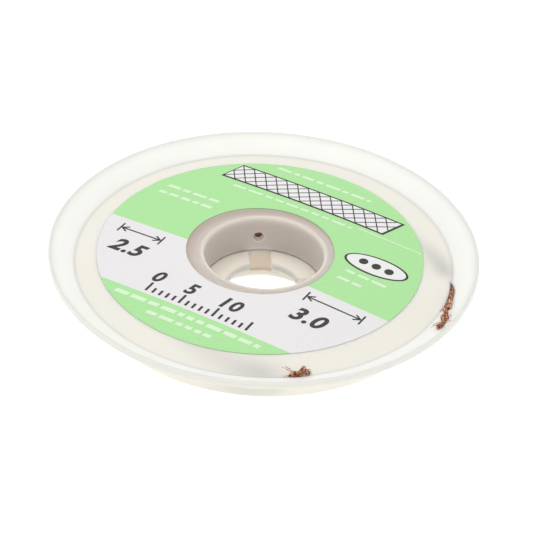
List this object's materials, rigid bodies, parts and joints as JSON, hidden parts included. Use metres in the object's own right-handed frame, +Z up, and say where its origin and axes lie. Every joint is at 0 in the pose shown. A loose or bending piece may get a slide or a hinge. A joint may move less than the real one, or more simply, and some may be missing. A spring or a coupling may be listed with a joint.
{
  "type": "desoldering braid on a spool",
  "caption": "Flat copper desoldering braid coiled inside a two-part translucent spool with a flared rim, a keyed hub, a foot ring and a plain green and white paper label.",
  "frame": {"origin": "on the spool's axis, in the plane of the bottom of its foot ring", "axes": "+Z up along the spool's axis, towards the label; -Y towards the side where the braid's outer end comes out"},
  "size_m": [0.056, 0.056, 0.0101],
  "materials": {
    "spool_plastic": "natural, milky translucent moulded polypropylene",
    "label_paper": "coated paper, green and white print",
    "copper_braid": "bare copper wire, braided flat, with dried flux"
  },
  "bodies": {
    "root": {"upper_flange": "spool_plastic", "lower_flange": "spool_plastic", "label": "label_paper", "braid": "copper_braid"}
  },
  "joints": []
}
